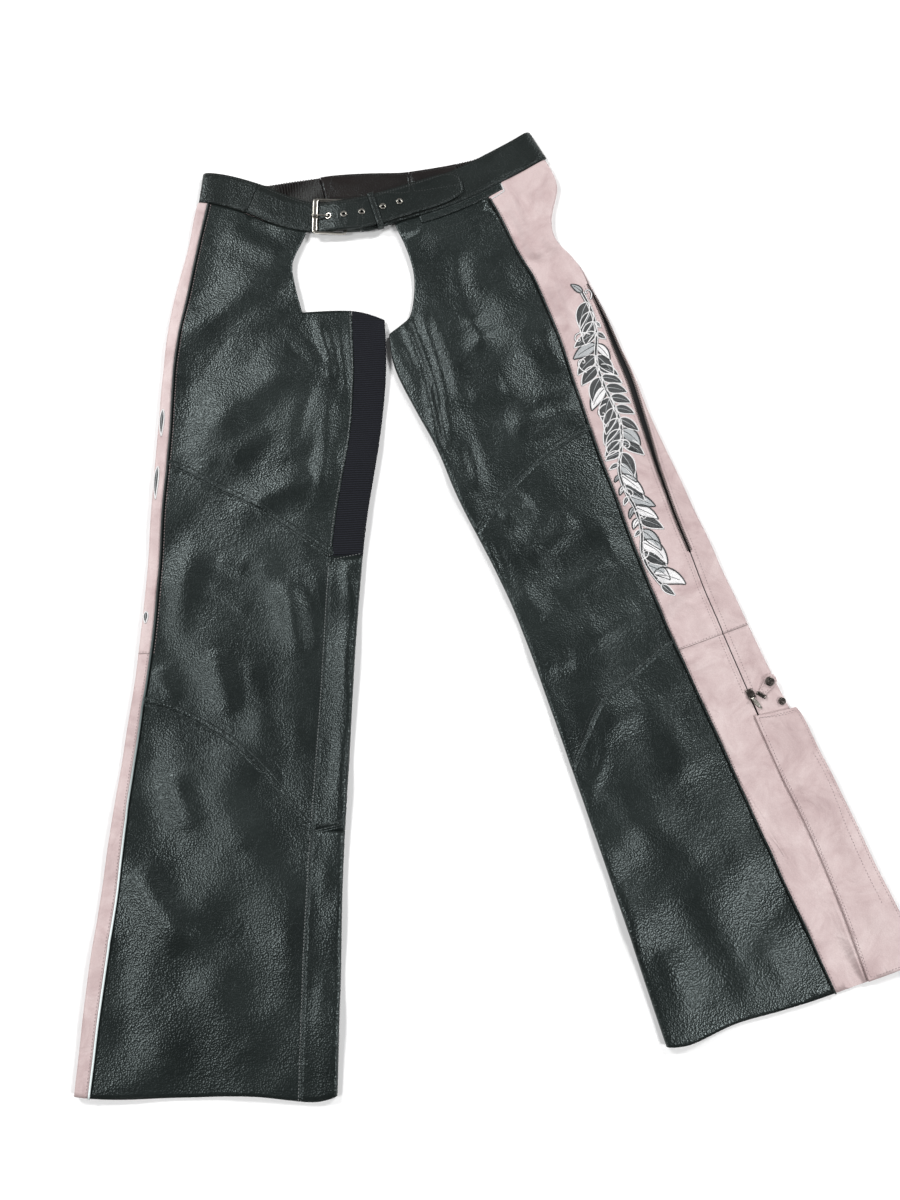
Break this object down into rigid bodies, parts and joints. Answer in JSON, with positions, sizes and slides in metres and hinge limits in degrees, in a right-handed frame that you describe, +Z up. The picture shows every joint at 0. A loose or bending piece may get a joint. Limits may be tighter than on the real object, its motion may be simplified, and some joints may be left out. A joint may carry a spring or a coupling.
{
  "type": "leather riding chaps",
  "caption": "Leather riding chaps with pale side panels, a buckled belt and a side zip, lying flat with the front up.",
  "frame": {"origin": "on the surface it lies on, under the middle of the garment", "axes": "+Y from the hems to the belt, +Z up out of the surface, +X towards the wearer's left leg"},
  "size_m": [0.9029, 1.1408, 0.0146],
  "materials": {
    "black_leather": "soft sheen",
    "pink_leather": "satin",
    "belt_lining": "matte",
    "stretch_rib": "matte",
    "zip_tape": "matte",
    "pewter": "satin",
    "gunmetal": "satin"
  },
  "bodies": {
    "garment": {"belt_back_centre": "belt_lining", "belt_back_left": "belt_lining", "belt_elastic_left": "stretch_rib", "belt_elastic_right": "stretch_rib", "belt_keeper": "black_leather", "belt_left_front": "black_leather", "belt_right_side": "black_leather", "belt_tongue": "black_leather", "buckle_frame": "pewter", "buckle_loop": "black_leather", "buckle_prong": "pewter", "eyelet_1": "pewter", "eyelet_2": "pewter", "eyelet_3": "pewter", "eyelet_4": "pewter", "eyelet_5": "pewter", "left_back_lower": "black_leather", "left_back_upper": "black_leather", "left_flap": "pink_leather", "left_front_knee": "black_leather", "left_front_shin": "black_leather", "left_front_thigh": "black_leather", "left_piping": "black_leather", "left_pocket_welt": "black_leather", "left_side_back_lower": "pink_leather", "left_side_back_upper": "pink_leather", "left_side_front_lower": "pink_leather", "left_side_front_upper": "pink_leather", "left_stretch_panel": "stretch_rib", "left_zip_tape": "zip_tape", "right_back_lower": "black_leather", "right_back_upper": "black_leather", "right_front_knee": "black_leather", "right_front_shin": "black_leather", "right_front_thigh": "black_leather", "right_piping": "black_leather", "right_side_back_lower": "pink_leather", "right_side_back_upper": "pink_leather", "right_side_front_lower": "pink_leather", "right_side_front_upper": "pink_leather", "right_stretch_panel": "stretch_rib", "right_zip_tape": "zip_tape", "snap_side": "gunmetal", "snap_tab": "gunmetal", "tab_clamp": "gunmetal", "zip_slider": "gunmetal", "zip_tab": "pink_leather"},
    "zip_pull": {"zip_pull": "pewter"}
  },
  "joints": [
    {"name": "pull_tab", "type": "hinge", "parent": "garment", "child": "zip_pull", "pos_m": [0.28127, -0.15026, 0.00844], "axis": [-0.755, -0.6544, -0.0412], "range_deg": [0, 150]}
  ]
}
